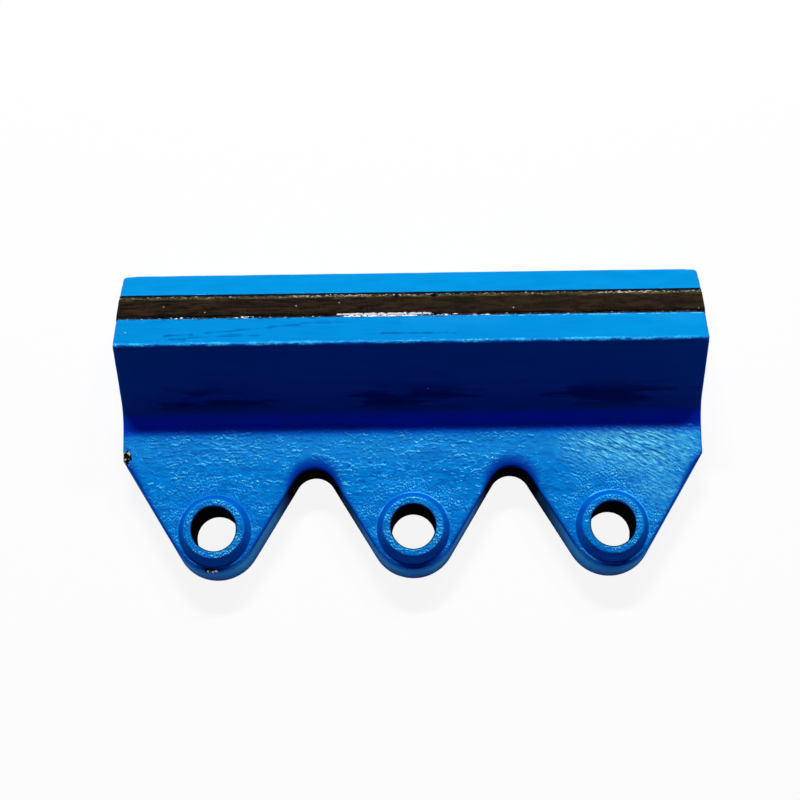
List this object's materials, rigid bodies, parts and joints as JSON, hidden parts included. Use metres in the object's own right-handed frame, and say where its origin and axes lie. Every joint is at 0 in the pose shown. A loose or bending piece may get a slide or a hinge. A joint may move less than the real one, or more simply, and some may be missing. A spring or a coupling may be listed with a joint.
{
  "type": "impact crusher blow bar",
  "caption": "Enamelled cast-steel impact crusher blow bar with a square nose, a brazed hard-metal insert, and triangular bolt lugs with raised bosses.",
  "frame": {"origin": "where the middle bolt hole's axis meets the flat back face", "axes": "+X along the bar, +Y from the lugs to the head, +Z out of the back face towards the nose"},
  "size_m": [0.295, 0.1528, 0.0634],
  "materials": {
    "blue_enamel": "glossy enamel over a sand-cast skin",
    "hard_metal": "dark sintered metal, finely pitted",
    "braze": "dull brazing filler with bright specks"
  },
  "bodies": {
    "root": {"bar_casting": "blue_enamel", "hard_metal_insert": "hard_metal", "lower_braze_bead": "braze", "upper_braze_bead": "braze"}
  },
  "joints": []
}
